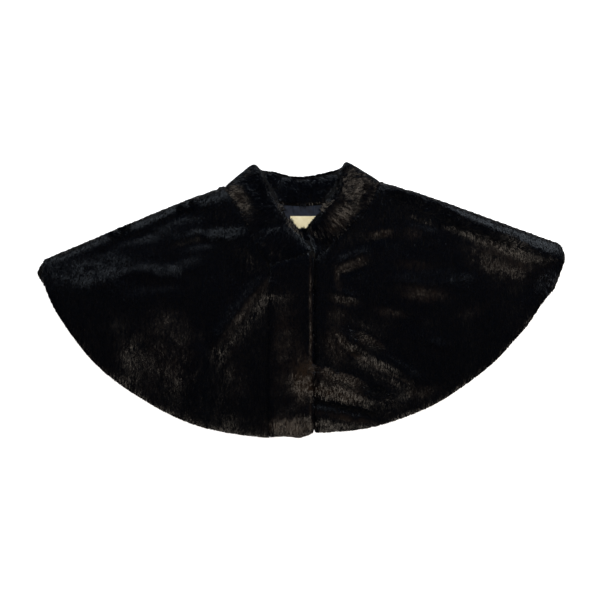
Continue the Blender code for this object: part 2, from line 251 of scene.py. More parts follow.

# %% [markdown]
# Cloth that is laid flat keeps small creases, finer than the folds of the solids. They could be simulated or
# sculpted. Here they are soft ridges and troughs along listed lines, which are easy to read and to move,
# those of the back as hollows off the table. Each row is a line in millimetres, a height and a half width.
# Smooth noise lets a crease wander off its line and fade in and out.

# %% Creases
Drift = namedtuple("Drift", "share size")
LATTICE = 64
CREASE_END = 24.0
CREASE_WANDER, CREASE_FADE = Drift(7.0, 34 * MM), Drift(0.5, 22 * MM)
CREASE_SEED = 21

Crease = namedtuple("Crease", "from_x from_y to_x to_y height half_width")
FRONT_CREASES = (
    Crease(-223, 108, -129, 117, 1.3, 7),
    Crease(-210, 92, -150, 98, -1, 7),
    Crease(-342, 46, -172, 58, 1.2, 8),
    Crease(-300, 22, -205, 30, -0.8, 9),
    Crease(-392, 12, -318, 40, 0.9, 9),
    Crease(-345, 82, -160, 155, -1.1, 8),
    Crease(-292, -48, -276, -165, 1.1, 12),
    Crease(-246, -70, -232, -178, -1, 10),
    Crease(-160, -60, -158, -210, -1.6, 8),
    Crease(-88, 20, -70, -60, -0.8, 8),
    Crease(-52, 2, 0, 7, -0.3, 7),
    Crease(-46, -52, -6, -46, 0.8, 8),
    Crease(-45, -105, -18, -98, -0.6, 7),
    Crease(-40, -176, 12, -170, 0.8, 9),
    Crease(112, 112, 165, 121, 1.4, 7),
    Crease(108, 98, 160, 104, -1.1, 6),
    Crease(68, 45, 106, 62, -1.2, 7),
    Crease(46, 20, 94, 8, 1.4, 7),
    Crease(52, 2, 98, -8, -1.1, 7),
    Crease(82, -36, 165, -80, -1, 7),
    Crease(61, -64, 182, -133, -1.7, 7),
    Crease(150, 34, 236, 20, 1, 10),
    Crease(176, 56, 262, 60, -0.8, 9),
    Crease(196, -58, 262, -76, 1.1, 10),
    Crease(22, -171, 126, -184, -1.3, 7),
    Crease(134, -172, 232, -146, 0.9, 10),
    Crease(178, 146, 404, 66, -1.4, 8),
    Crease(296, 62, 392, 58, 0.3, 14),
    Crease(24, -36, 197, -144, -3, 11),
    Crease(352, 10, 420, 36, -1, 10),
)
COLLAR_CREASES = (
    Crease(-60, 60, 24, 88, -2.4, 18.0),
    Crease(-92, 196, -62, 150, 1.4, 9.0),
    Crease(-112, 176, -84, 128, -1.6, 8.0),
    Crease(-70, 118, -30, 128, -1.2, 8.0),
    Crease(70, 206, 52, 168, 1.6, 9.0),
    Crease(112, 190, 84, 140, -1.8, 9.0),
    Crease(62, 142, 84, 152, -1.2, 7.0),
    Crease(40, 92, 10, 118, -2.0, 12.0),
)
BACK_CREASES = (
    Crease(-330, 60, -180, -20, 2.0, 12.0),
    Crease(-250, -60, -210, -160, 1.6, 11.0),
    Crease(-120, 40, -70, -120, 2.2, 13.0),
    Crease(-20, 90, 10, -90, 1.6, 10.0),
    Crease(70, 20, 120, -150, 2.0, 12.0),
    Crease(190, 60, 330, 20, 1.8, 11.0),
    Crease(230, -40, 280, -120, 1.6, 10.0),
)
CREASES = {
    "left_front": FRONT_CREASES, "right_front": FRONT_CREASES, "right_band": FRONT_CREASES,
    "collar_outer": COLLAR_CREASES, "back": BACK_CREASES,
}


def smooth_step(share):
    share = np.clip(share, 0.0, 1.0)
    return share * share * (3 - 2 * share)


def soft_noise(points, drift, seed):
    """Smooth noise over the cloth, from minus to plus the drift's share, with bumps about its size apart."""
    lattice = np.random.default_rng(seed).uniform(-1, 1, (LATTICE, LATTICE))
    grid = points[:, :2] / drift.size
    corner = np.floor(grid).astype(int)
    share = smooth_step(grid - corner)
    i, j = corner[:, 0] % LATTICE, corner[:, 1] % LATTICE
    k, m = (i + 1) % LATTICE, (j + 1) % LATTICE
    low = lattice[i, j] * (1 - share[:, 0]) + lattice[k, j] * share[:, 0]
    high = lattice[i, m] * (1 - share[:, 0]) + lattice[k, m] * share[:, 0]
    return drift.share * (low * (1 - share[:, 1]) + high * share[:, 1])


def crease_height(points, creases):
    """Height of the creases over points, in metres."""
    total = np.zeros(len(points))
    wander = soft_noise(points, CREASE_WANDER, CREASE_SEED)
    fade = 1 + soft_noise(points, CREASE_FADE, CREASE_SEED + 1)
    for crease in creases:
        start = np.array([crease.from_x, crease.from_y])
        run = np.array([crease.to_x, crease.to_y]) - start
        length = np.linalg.norm(run)
        offset = points[:, :2] / MM - start
        along = offset @ run / length
        aside = offset @ np.array([-run[1], run[0]]) / length + wander
        ends = smooth_step(along / CREASE_END + 0.5) * smooth_step((length - along) / CREASE_END + 0.5)
        total += crease.height * ends * np.exp(-((aside / crease.half_width) ** 2))
    return total * fade * MM


print("creases:", len(FRONT_CREASES) + len(COLLAR_CREASES) + len(BACK_CREASES))

# %% [markdown]
# Each cloth piece starts as a copy of its solid. Its points are merged, a voxel remesh gives it even faces,
# and its fur side is drawn in a little, so that the fur that stands on it reaches the solid's own surface.
# Its rim is let out by what the smoothing took, so that seams close, and the back's neck and the fronts'
# shoulders tuck in under the collar. The back lies face down, with its fur side below.

# %% Cloth on the solids' form
CLOTH_NODES = (
    "back", "left_front", "left_band", "right_front", "right_band", "collar_outer", "collar_inner",
)
MERGE = 0.01 * MM
VOXEL = 4 * MM
PANEL_SMOOTHING, COLLAR_SMOOTHING = 3, 7
SMOOTHING = {"factor": 0.5, "use_axis_x": True, "use_axis_y": True, "use_axis_z": True}
DRAW_IN = 2.5 * MM
RIM_OUT = 2.0 * MM
NECK_CENTRE = np.array([0.0, 185.0, 0.0]) * MM
NECK_TUCK, TUCK_REACH = 3.0 * MM, 130 * MM
SHOULDER_LINE, SHOULDER_END = 172 * MM, 140 * MM
CREASE_RIM = 0.5


def mesh_arrays(mesh):
    """A mesh's points and their normals."""
    points = np.empty(len(mesh.vertices) * 3)
    normals = np.empty(len(mesh.vertices) * 3)
    mesh.vertices.foreach_get("co", points)
    mesh.vertices.foreach_get("normal", normals)
    return points.reshape(-1, 3), normals.reshape(-1, 3)


def copy_of(node):
    """A merged copy of a solid's mesh, as a bmesh."""
    bm = bmesh.new()
    bm.from_mesh(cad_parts[node].data)
    bmesh.ops.remove_doubles(bm, verts=bm.verts[:], dist=MERGE)
    return bm


def even_skin(node):
    """A closed, smoothed skin of even faces on a solid's form."""
    name = node + "_cloth"
    piece = linked(name, copy_of(node), BACKING)
    remesh = piece.modifiers.new("even faces", "REMESH")
    remesh.mode = "VOXEL"
    remesh.voxel_size = VOXEL
    even = bpy.data.meshes.new_from_object(piece.evaluated_get(bpy.context.evaluated_depsgraph_get()))
    piece.modifiers.clear()
    piece.data = even
    bm = bmesh.new()
    bm.from_mesh(even)
    for _ in range(COLLAR_SMOOTHING if "collar" in node else PANEL_SMOOTHING):
        bmesh.ops.smooth_vert(bm, verts=bm.verts[:], **SMOOTHING)
    bm.to_mesh(even)
    bm.free()
    even.name = name
    return piece


def let_out(node, points):
    """How far the rim of a cloth is let out at each point, more where it tucks in under the collar."""
    reach = np.full(len(points), RIM_OUT)
    if node == "back":
        reach[np.linalg.norm(points[:, :2] - NECK_CENTRE[:2], axis=1) < TUCK_REACH] += NECK_TUCK
    elif node in ("right_front", "left_front"):
        reach[(points[:, 1] > SHOULDER_LINE) & (np.abs(points[:, 0]) < SHOULDER_END)] += NECK_TUCK
    return reach[:, None]


def cloth_on(node):
    """The cloth of a node, with its creases and with room on its fur side for the fur."""
    piece = even_skin(node)
    points, normals = mesh_arrays(piece.data)
    upward = -1 if node == "back" else 1
    fur_side = np.clip(upward * normals[:, 2], 0, 1)
    points[:, 2] -= upward * fur_side * DRAW_IN
    points[:, :2] += normals[:, :2] * let_out(node, points)
    points[:, 2] += crease_height(points, CREASES.get(node, ())) * smooth_step(fur_side / CREASE_RIM)
    piece.data.vertices.foreach_set("co", points.ravel())
    piece.data.shade_smooth()
    piece.data.update()
    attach(piece, "root")
    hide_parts(node)
    print(piece.name, "faces:", len(piece.data.polygons))
    return piece


cloth = {node: cloth_on(node) for node in CLOTH_NODES}

# %% [markdown]
# The fur is grown as many small blades, joined into one mesh for each cloth. A blade is two triangles: a
# narrow root, a wide middle and a pointed tip, bent over the way that the pile lies. Down the cape the pile
# lies towards the hem, and on the collar it lies from the free edge towards the seam. Over the collar's
# front edges it rolls into the neck.

# %% The way that the pile lies
COLLAR_REACH = 90 * MM
THROAT = np.array([6.0, 160.0, 0.0]) * MM
TINY = 1e-9

Nap = namedtuple("Nap", "way across along")


def unit(vectors):
    return vectors / np.maximum(np.linalg.norm(vectors, axis=1, keepdims=True), TINY)


def down_the_cape(points):
    return Nap(np.tile([0.0, -1.0, 0.0], (len(points), 1)), points[:, 0], -points[:, 1])


def across_the_collar(points):
    away = (points - NECK_CENTRE) * np.array([1.0, 1.0, 0.0])
    return Nap(unit(away), np.arctan2(away[:, 1], away[:, 0]) * COLLAR_REACH, np.linalg.norm(away, axis=1))


def into_the_neck(points):
    inward = (THROAT - points) * np.array([1.0, 1.0, 0.0])
    return across_the_collar(points)._replace(way=unit(inward))


print("the pile lies down the cape, and across the collar about", NECK_CENTRE / MM)

# %% [markdown]
# Fibres cling together in locks, long in the way of the pile and narrow across it. The blades of one lock
# share a turn, a lean, a twist and a tone, and their tips draw together. That is what makes pile look like
# silky fur and not like felt. Locks get their traits from a table of random numbers with a fixed seed.

# %% Locks
LOCK_ACROSS, LOCK_ALONG = 2.0 * MM, 9 * MM
LOCK_PULL = 0.3
LOCK_WANDER = Drift(0.8, 14 * MM)
LOCK_TABLE = (97, 89)

Locks = namedtuple("Locks", "turn lean twist tone middle")


def locks_at(nap, points, seed):
    """The traits of the lock at each point, each from -1 to 1, and how far aside the lock's middle is."""
    rng = np.random.default_rng(seed)
    across = nap.across / LOCK_ACROSS + soft_noise(points, LOCK_WANDER, seed + 1)
    column = np.floor(across).astype(int)
    stagger = rng.random(LOCK_TABLE[0])[column % LOCK_TABLE[0]]
    row = np.floor(nap.along / LOCK_ALONG + stagger).astype(int)
    traits = rng.uniform(-1, 1, (4, *LOCK_TABLE))[:, column % LOCK_TABLE[0], row % LOCK_TABLE[1]]
    return Locks(*traits, (column + 0.5 - across) * LOCK_ACROSS)


print("a lock, mm:", LOCK_ACROSS / MM, "by", LOCK_ALONG / MM)

# %% [markdown]
# A hand has brushed the pile about. Where it was stroked up the hairs catch the window, where it was pressed
# flat they catch the lamp, and where it lies along a crease it catches neither. Each row is one such patch,
# placed by eye: its middle, its half sizes and angle, how many degrees the hairs are lifted or pressed, how
# many they are turned aside, how much painted light it puts into the fur's tone, and whether the brush has
# evened out the slope of the cloth under them. Above nought that painted light turns the black browner, a
# painted warm sheen. Below nought it turns it blacker, painted shade along a crease.

# %% Brushed patches
Patch = namedtuple("Patch", "x y half_x half_y angle lift turn brown even")
PATCHES = (
    Patch(-129, 116, 37, 10, 5, 12, 0, 0.0, 1),
    Patch(-224, 54, 40, 12, 3, 10, 0, 0.0, 1),
    Patch(-95, -14, 76, 8, 51, -8, 0, 0.25, 1),
    Patch(-222, -72, 46, 80, 0, -7, 0, 0.1, 0),
    Patch(-112, -110, 22, 58, 0, -5, 0, 0.1, 0),
    Patch(-296, -70, 26, 66, 8, -5, 0, 0.0, 0),
    Patch(-350, 54, 60, 24, 12, 8, 0, 0.0, 1),
    Patch(-360, 24, 90, 60, 0, 4, 0, 0.0, 0),
    Patch(-270, -110, 100, 50, -30, -1.5, 0, 0.05, 0),
    Patch(-425, 48, 20, 26, 0, 3, 0, 0.0, 1),
    Patch(-246, 152, 120, 9, 20, 16, 0, 0.0, 1),
    Patch(-230, 140, 130, 18, 20, 5, 0, 0.0, 0),
    Patch(-160, 176, 36, 8, 20, 12, 0, 0.0, 1),
    Patch(-316, 120, 36, 12, 20, 0, 150, -0.1, 1),
    Patch(-196, 160, 22, 11, 20, 0, 150, -0.1, 1),
    Patch(138, 116, 24, 7, 8, -14, 0, 0.4, 1),
    Patch(192, 116, 20, 12, 0, -8, 0, 0.2, 1),
    Patch(87, 64, 24, 8, 24, -13, 0, 0.45, 1),
    Patch(64, 36, 22, 8, -82, -9, 0, 0.2, 1),
    Patch(70, 2, 24, 7, -16, -10, 0, 0.3, 1),
    Patch(60, -22, 22, 16, 0, -4, 0, 0.15, 1),
    Patch(58, -70, 18, 40, 8, -7, 0, 0.25, 1),
    Patch(112, -70, 28, 10, -28, -14, 180, 0.35, 1),
    Patch(80, -77, 34, 6, -46, -12, 0, 0.4, 1),
    Patch(118, -104, 34, 5, -34, -12, 0, 0.25, 1),
    Patch(162, -127, 28, 3, -28, -12, 0, 0.3, 1),
    Patch(60, -131, 48, 10, -19, -14, 180, 0.6, 1),
    Patch(60, -156, 46, 12, -12, -14, 0, 0.7, 1),
    Patch(82, -199, 60, 6, -11, -13, 0, 0.35, 1),
    Patch(342, 72, 60, 30, -18, -20, 0, 0.3, 1),
    Patch(206, 14, 43, 14, -6, -9, 0, 0.3, 1),
    Patch(226, -66, 40, 14, -14, 8, 0, 0.0, 1),
    Patch(196, -156, 40, 12, 14, -8, 0, 0.2, 1),
    Patch(356, 124, 110, 7, -19, 17, 0, 0.0, 1),
    Patch(205, 164, 60, 9, -20, 0, 180, -0.1, 1),
    Patch(424, 30, 24, 26, 0, 15, 0, 0.1, 1),
    Patch(190, 62, 30, 10, -8, -8, 0, 0.2, 1),
    Patch(266, 40, 34, 10, 6, 7, 0, 0.0, 1),
    Patch(150, -18, 26, 8, -10, -8, 0, 0.3, 1),
    Patch(284, -20, 30, 12, 20, -6, 0, 0.1, 1),
    Patch(3, -129, 16, 36, 0, -12, 0, 0.8, 1),
    Patch(-20, -212, 34, 15, 0, -14, 0, 1.0, 1),
    Patch(-24, -77, 26, 90, 0, -5, 0, 0.2, 0),
    Patch(16, -60, 3, 150, 0, -14, 0, 0.5, 1),
    Patch(80, 176, 50, 27, 58, -20, 0, 0.25, 1),
    Patch(60, 138, 22, 12, 40, -14, 0, 0.5, 1),
    Patch(-100, 173, 34, 13, -66, -19, 0, 0.25, 1),
    Patch(-45, 176, 52, 5, -63, -15, 0, 0.1, 1),
    Patch(9, 111, 13, 7, -30, 17, 0, 0.0, 1),
    Patch(146, -98, 46, 4, -30, 0, 0, -0.3, 1),
    Patch(42, -108, 32, 7, -38, 0, 0, -0.4, 1),
    Patch(130, -154, 28, 8, -25, 0, 180, -0.3, 1),
    Patch(152, -150, 54, 9, -31, 0, 0, -0.4, 1),
    Patch(140, -185, 30, 9, -20, 0, 0, -0.3, 1),
    Patch(74, -180, 58, 5, -13, 0, 180, -0.3, 1),
    Patch(-160, -138, 90, 6, 90, 0, 0, -0.2, 1),
    Patch(-57, -146, 90, 3, 90, 0, 60, -0.2, 1),
    Patch(280, 128, 130, 8, -20, 0, 180, -0.2, 1),
    Patch(130, 98, 30, 5, 6, 0, 0, -0.2, 1),
    Patch(86, 46, 22, 5, 24, 0, 0, -0.2, 1),
    Patch(-78, 104, 46, 14, -62, 0, 0, -0.1, 1),
    Patch(-20, 78, 44, 14, 18, 0, 0, -0.1, 1),
    Patch(40, 44, 12, 26, 0, 0, 0, -0.1, 1),
    Patch(38, -34, 18, 24, 0, 0, 0, -0.1, 1),
    Patch(0, 190, 75, 22, 0, 0, 85, -0.1, 1),
    Patch(-52, 193, 18, 30, -15, 0, -145, -0.1, 0),
    Patch(57, 197, 16, 26, 15, 0, 45, -0.1, 0),
    Patch(40, 174, 28, 6, 60, -12, 0, 0.2, 1),
)

PATCH_EDGE = 1.4
PATCH_FRAY, PATCH_CLOUD = Drift(0.5, 4 * MM), Drift(0.4, 15 * MM)
Brushing = namedtuple("Brushing", "lift turn brown even")


def brushed(points, seed):
    """How far the hairs are lifted and turned at each point, in degrees, how much painted light shifts their
    tone, and how even they are.
    """
    total = np.zeros((4, len(points)))
    ragged = 1 + soft_noise(points, PATCH_FRAY, seed) + soft_noise(points, PATCH_CLOUD, seed + 1)
    for patch in PATCHES:
        offset = points[:, :2] / MM - np.array([patch.x, patch.y])
        angle = math.radians(patch.angle)
        along = (offset @ np.array([math.cos(angle), math.sin(angle)])) / patch.half_x
        aside = (offset @ np.array([-math.sin(angle), math.cos(angle)])) / patch.half_y
        share = np.exp(-((along**2 + aside**2) ** PATCH_EDGE)) * ragged
        total += np.outer([patch.lift, patch.turn, patch.brown, patch.even], share)
    return Brushing(*total)


print("brushed patches:", len(PATCHES))

# %% [markdown]
# Roots are spread evenly over the fur side of a cloth. A blade that would reach past the outline of the
# cape is cut short, as a furrier trims the pile along a hem. A look straight down at the solids tells what
# is outside.

# %% Roots and trimming
OVERHANG = 2.5 * MM
LOOK_HEIGHT = 1.0
TRIM_TURNS = 4
TRIM_SHARE = 0.75

solids = bmesh.new()
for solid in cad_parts.values():
    solids.from_mesh(solid.data)
OUTLINE = BVHTree.FromBMesh(solids)
solids.free()


def outside(points):
    """Which points are past the outline of the solids, seen from above."""
    down = Vector((0, 0, -1))
    return np.array([OUTLINE.ray_cast((x, y, LOOK_HEIGHT), down)[0] is None for x, y, _ in points], bool)


def kept_share(roots, bend, way):
    """How much of each blade is kept, when it is cut back in turns until it ends within the outline."""
    kept = np.ones((len(roots), 1))
    for _ in range(TRIM_TURNS):
        kept[outside(roots + kept * bend - OVERHANG * way)] *= TRIM_SHARE
    return kept


def roots_on(mesh, count, grows, rng):
    """Random places on the faces of a cloth that grow fur, with the cloth's normals there."""
    mesh.calc_loop_triangles()
    corners = np.empty(len(mesh.loop_triangles) * 3, int)
    mesh.loop_triangles.foreach_get("vertices", corners)
    corners = corners.reshape(-1, 3)
    points, normals = mesh_arrays(mesh)
    first, second, third = (points[corners[:, at]] for at in range(3))
    areas = np.linalg.norm(np.cross(second - first, third - first), axis=1)
    areas[~grows(points[corners].mean(axis=1), normals[corners].mean(axis=1))] = 0.0
    chosen = corners[rng.choice(len(corners), count, p=areas / areas.sum())]
    weights = rng.dirichlet((1, 1, 1), count)[:, :, None]
    return (points[chosen] * weights).sum(axis=1), unit((normals[chosen] * weights).sum(axis=1))


print("outline from", len(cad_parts), "solids")

# %% [markdown]
# The blades of a cloth are joined into one mesh. A hair system would be shorter to write, but its hairs are
# curves, not triangles. A blade keeps its tone and the reach along it on its points for the material. Its map
# lays all blades of a tone over each other, because they look the same there.

# %% A mesh of blades
BLADE_FACES = (0, 2, 1, 1, 2, 3)
BLADE_REACH = (0.0, 0.5, 0.5, 1.0)
MAP_EDGE, MAP_SPAN = 0.02, 0.96
MAP_ACROSS = (0.0, -0.004, 0.004, 0.0)


def blade_mesh(name, blades, tone):
    """Blades of four points each, as one mesh of triangles with its attributes and its map."""
    count = len(blades)
    faces = (np.arange(count)[:, None] * 4 + np.array([BLADE_FACES])).ravel()
    mesh = bpy.data.meshes.new(name)
    mesh.vertices.add(count * 4)
    mesh.vertices.foreach_set("co", blades.ravel())
    mesh.loops.add(count * 6)
    mesh.loops.foreach_set("vertex_index", faces)
    mesh.polygons.add(count * 2)
    mesh.polygons.foreach_set("loop_start", np.arange(count * 2) * 3)
    mesh.update(calc_edges=True)
    reach = np.tile(BLADE_REACH, count)
    tones = np.repeat(tone, 4)
    mesh.attributes.new("tone", "FLOAT", "POINT").data.foreach_set("value", tones)
    mesh.attributes.new("reach", "FLOAT", "POINT").data.foreach_set("value", reach)
    across = MAP_EDGE + MAP_SPAN * tones + np.tile(MAP_ACROSS, count)
    places = np.stack([across, MAP_EDGE + MAP_SPAN * reach], axis=1)[faces]
    mesh.uv_layers.new(name="OFBake").data.foreach_set("uv", places.ravel())
    mesh.materials.append(FUR)
    piece = bpy.data.objects.new(name, mesh)
    bpy.context.scene.collection.objects.link(piece)
    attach(piece, "root")
    print(name, "blades:", count)
    return piece


print("triangles in a blade:", len(BLADE_FACES) // 3)

# %% [markdown]
# A hair starts the way that the pile lies, is turned and leaned by the brush, and then differs a little
# from its lock and from its neighbours. A fur's lean and the brush's angles are in degrees. Where the brush
# has evened the pile, the slope of the cloth is taken out of the lean. A trimmed hair has lost its dark
# tip, so it looks browner.

# %% Growing fur
Fur = namedtuple("Fur", "cloth count length width lean clump nap grows seed")
Spread = namedtuple("Spread", "lock hair")
TURN, LEAN, TWIST = Spread(0.10, 0.06), Spread(0.08, 0.12), Spread(0.16, 0.12)
LENGTH, TONE = Spread(0.15, 0.15), Spread(0.06, 0.06)
TURN_BROAD, TURN_FINE = Drift(0.20, 48 * MM), Drift(0.06, 15 * MM)
LEAN_DRIFT = Drift(0.22, 36 * MM)
LEAN_DEGREES = (4, 65)
EVEN_GAIN = 1.5
STANDS_ON_END = 0.2
MEAN_LENGTH = 0.85
WIDTHS = (0.7, 1.3)
TIP_LEAN_SHARE = 0.9
MIDDLE_DRAW = 0.4
FLOOR_GAP = 0.2 * MM
TRIMMED_BROWN = 0.5


def combed(nap, up):
    """The way of the pile laid into the cloth's surface. Where it would stand on end, it hangs."""
    way = nap - up * (nap * up).sum(axis=1, keepdims=True)
    hangs = np.linalg.norm(way, axis=1) < STANDS_ON_END
    way[hangs] = np.array([0.0, 0.0, -1.0]) + up[hangs] * up[hangs][:, 2:3]
    return unit(way)


def hair_way(fur, roots, up, way, locks, brush, rng):
    """The way that each hair lies along the cloth, after the brush has turned it."""
    turn = soft_noise(roots, TURN_BROAD, fur.seed + 3) + soft_noise(roots, TURN_FINE, fur.seed + 4)
    turn = turn + TURN.lock * locks.turn + rng.normal(0, TURN.hair, fur.count) + np.radians(brush.turn)
    turn = turn[:, None]
    return way * np.cos(turn) + np.cross(up, way) * np.sin(turn)


def hair_lean(fur, roots, way, locks, brush, rng):
    """How far each hair leans up from the cloth."""
    lean = 1 + soft_noise(roots, LEAN_DRIFT, fur.seed + 7)
    lean += LEAN.lock * fur.clump * locks.lean + rng.normal(0, LEAN.hair, fur.count)
    slope = np.degrees(np.arcsin(np.clip(way[:, 2], -1, 1)))
    evened = np.clip(EVEN_GAIN * brush.even, 0, 1) * slope
    return np.radians(np.clip(fur.lean * lean + brush.lift - evened, *LEAN_DEGREES))[:, None]


def grow_fur(name, mesh, fur):
    rng = np.random.default_rng(fur.seed)
    roots, up = roots_on(mesh, fur.count, fur.grows, rng)
    nap = fur.nap(roots)
    locks = locks_at(nap, roots, fur.seed + 1)
    brush = brushed(roots, fur.seed + 5)
    way = hair_way(fur, roots, up, combed(nap.way, up), locks, brush, rng)
    lean = hair_lean(fur, roots, way, locks, brush, rng)
    length = MEAN_LENGTH + LENGTH.lock * locks.lean + rng.uniform(-LENGTH.hair, LENGTH.hair, fur.count)
    half = 0.5 * fur.length * length[:, None]
    twist = (TWIST.lock * fur.clump * locks.twist + rng.normal(0, TWIST.hair, fur.count))[:, None]
    aside = np.cross(up, way)
    side = (aside * np.cos(twist) + up * np.sin(twist)) * 0.5 * fur.width
    side *= rng.uniform(*WIDTHS, (fur.count, 1))
    low = way * np.cos(lean) + up * np.sin(lean)
    high = way * np.cos(lean * TIP_LEAN_SHARE) + up * np.sin(lean * TIP_LEAN_SHARE)
    draw = aside * (locks.middle * LOCK_PULL)[:, None]
    bend = half * (low + high) + draw
    kept = kept_share(roots, bend, way)
    middle = roots + kept * (half * low + MIDDLE_DRAW * draw)
    blades = np.stack([roots, middle - side, middle + side, roots + kept * bend], axis=1)
    blades[:, :, 2] = np.maximum(blades[:, :, 2], FLOOR_GAP)
    # The patches' painted light: browner for a painted warm sheen, blacker for painted shade in creases. A
    # trimmed hair is browner too, as it has lost its dark tip.
    brown = brush.brown + TRIMMED_BROWN * (kept[:, 0] < 1)
    tone = np.clip(brown + TONE.lock * locks.tone + rng.normal(0, TONE.hair, fur.count), 0, 1)
    return blade_mesh(name, blades, tone)


print("hairs lean between", LEAN_DEGREES, "degrees")

# %% [markdown]
# Fur grows on the outer side of each cloth and round its free edges, but not on the rims that are sewn,
# where a maker combs the pile out of the seam. A rule for each cloth tells from a face's place and its
# normal whether fur grows there. The collar's front edges have a strip of their own. Most of the left band
# is covered by the right one, so it has few hairs.

# %% Fur on each cloth
NECK_RIM = 160 * MM
BAND_TOP = 60 * MM
COLLAR_ENDS = 100 * MM
EDGE_TOP = 226 * MM
LABEL_TOP, LABEL_CLEAR = 141 * MM, 8 * MM
FREE_EDGE = -0.3
PANEL_SEAM, BAND_SEAM, COLLAR_SEAM = 0.93, -0.7, 0.8
TOWARDS_NECK, ROUND_THE_EDGE, EDGE_LOW = -0.3, -0.1, 0.2
INNER_COLLAR_FLAT = 0.85
UNDERSIDE = 0.3


def on_panel(points, up):
    """The upper side and the free edges, but not the rim that the collar is sewn to."""
    near = np.linalg.norm((points - NECK_CENTRE)[:, :2], axis=1) < NECK_RIM
    return up[:, 2] > np.where(near & (points[:, 1] < SHOULDER_LINE), PANEL_SEAM, FREE_EDGE)


def on_band(points, up):
    """The upper side, the hem and the free edge, but not the rims that are sewn."""
    return (up[:, 2] > np.where(points[:, 1] > BAND_TOP, PANEL_SEAM, FREE_EDGE)) & (up[:, 0] > BAND_SEAM)


def away_from_neck(points, up):
    """How far a normal points away from the neck, from -1 to 1."""
    return (up * across_the_collar(points).way).sum(axis=1)


def on_collar(points, up):
    """The upper side and the outer edges, but not the edge towards the neck or the ends that are sewn."""
    inward = away_from_neck(points, up) < TOWARDS_NECK
    return up[:, 2] > np.where(inward | (points[:, 1] < COLLAR_ENDS), COLLAR_SEAM, FREE_EDGE)


def on_collar_edge(points, up):
    """The rounded front edges of the collar, towards the neck, but not over the label's upper corners."""
    inward = away_from_neck(points, up) < ROUND_THE_EDGE
    in_reach = (points[:, 1] > COLLAR_ENDS) & (points[:, 1] < EDGE_TOP)
    clear = np.abs(points[:, 1] - LABEL_TOP) > LABEL_CLEAR
    return inward & in_reach & clear & (up[:, 2] > EDGE_LOW)


def on_inner_collar(points, up):
    return up[:, 2] > INNER_COLLAR_FLAT


def below(points, up):
    return up[:, 2] < UNDERSIDE


FURS = {
    "right_front_fur": Fur("right_front", 94000, 6.5 * MM, 1.0 * MM, 17, 1, down_the_cape, on_panel, 100),
    "left_front_fur": Fur("left_front", 94000, 6.5 * MM, 1.0 * MM, 17, 1, down_the_cape, on_panel, 200),
    "right_band_fur": Fur("right_band", 24000, 6.5 * MM, 1.0 * MM, 17, 1, down_the_cape, on_band, 300),
    "left_band_fur": Fur("left_band", 3000, 6.5 * MM, 1.0 * MM, 17, 1, down_the_cape, on_band, 400),
    "collar_outer_fur": Fur(
        "collar_outer", 60000, 8 * MM, 0.7 * MM, 17, 1.6, across_the_collar, on_collar, 500,
    ),
    "collar_edge_fur": Fur(
        "collar_outer", 7500, 9 * MM, 0.7 * MM, 10, 2, into_the_neck, on_collar_edge, 800,
    ),
    "collar_inner_fur": Fur(
        "collar_inner", 22000, 9 * MM, 0.9 * MM, 17, 1, down_the_cape, on_inner_collar, 600,
    ),
    "back_fur": Fur("back", 60000, 10 * MM, 1.2 * MM, 16, 1, down_the_cape, below, 700),
}
fur = {name: grow_fur(name, cloth[recipe.cloth].data, recipe) for name, recipe in FURS.items()}

# %% [markdown]
# The lining is polyester satin, smooth and blue black. It shows only in the neck, between the collar and
# the label, where it is gathered a little by the seam. The piece is a copy of its solid with more faces
# near the neck, so that the gathers can be raised in it as short soft ridges of uneven height.

# %% Lining
LINING_EASE = 95 * MM
GATHERS_LOW, GATHERS_HIGH = 144 * MM, 162 * MM
GATHER_RISE, GATHER_WAVE = 0.52 * MM, 0.6
GATHER_SPACING = 7 * MM
UNEVEN_SHARE, UNEVEN_RATE, UNEVEN_START = 0.6, 3.9, 1.3
GATHER_CUTS = 6
SHARP_ANGLE = math.radians(50)

# Satin floats its threads on the surface, so it has a soft sheen and hardly any grain.
SATIN = mottled_material(
    "polyester satin", dark="0c1018", light="29303f", mottle=9.0 * MM, detail=2.0,
    roughness=0.45, specular=0.05,
)


def gather_height(x, y):
    """Height of the gathers at a place on the lining. A second wave makes them uneven."""
    share = float(smooth_step((y - GATHERS_LOW) / (GATHERS_HIGH - GATHERS_LOW)))
    turns = x / GATHER_SPACING
    wave = math.sin(turns * math.tau) + UNEVEN_SHARE * math.sin(turns * UNEVEN_RATE + UNEVEN_START)
    return GATHER_RISE * share * (1 + GATHER_WAVE * wave)


def by_neck(edge):
    return all((vert.co.xy - Vector(NECK_CENTRE[:2])).length < LINING_EASE for vert in edge.verts)


def lining_piece():
    bm = copy_of("back_lining")
    near = [edge for edge in bm.edges if by_neck(edge)]
    bmesh.ops.subdivide_edges(bm, edges=near, cuts=GATHER_CUTS, use_grid_fill=True)
    for vert in bm.verts:
        vert.co.z += gather_height(vert.co.x, vert.co.y)
    bmesh.ops.triangulate(bm, faces=bm.faces[:])
    piece = linked("back_satin", bm, SATIN)
    piece.data.shade_smooth()
    piece.data.set_sharp_from_angle(angle=SHARP_ANGLE)
    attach(piece, "root")
    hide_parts("back_lining")
    print("lining faces:", len(piece.data.polygons))
    return piece


lining = lining_piece()

# %% [markdown]
# The label is a bare strip of woven tape. Its two ends are folded under, which makes them a little thicker,
# and it is tacked at each end with small stitches. It starts as a grid that is bent and then given its
# thickness.

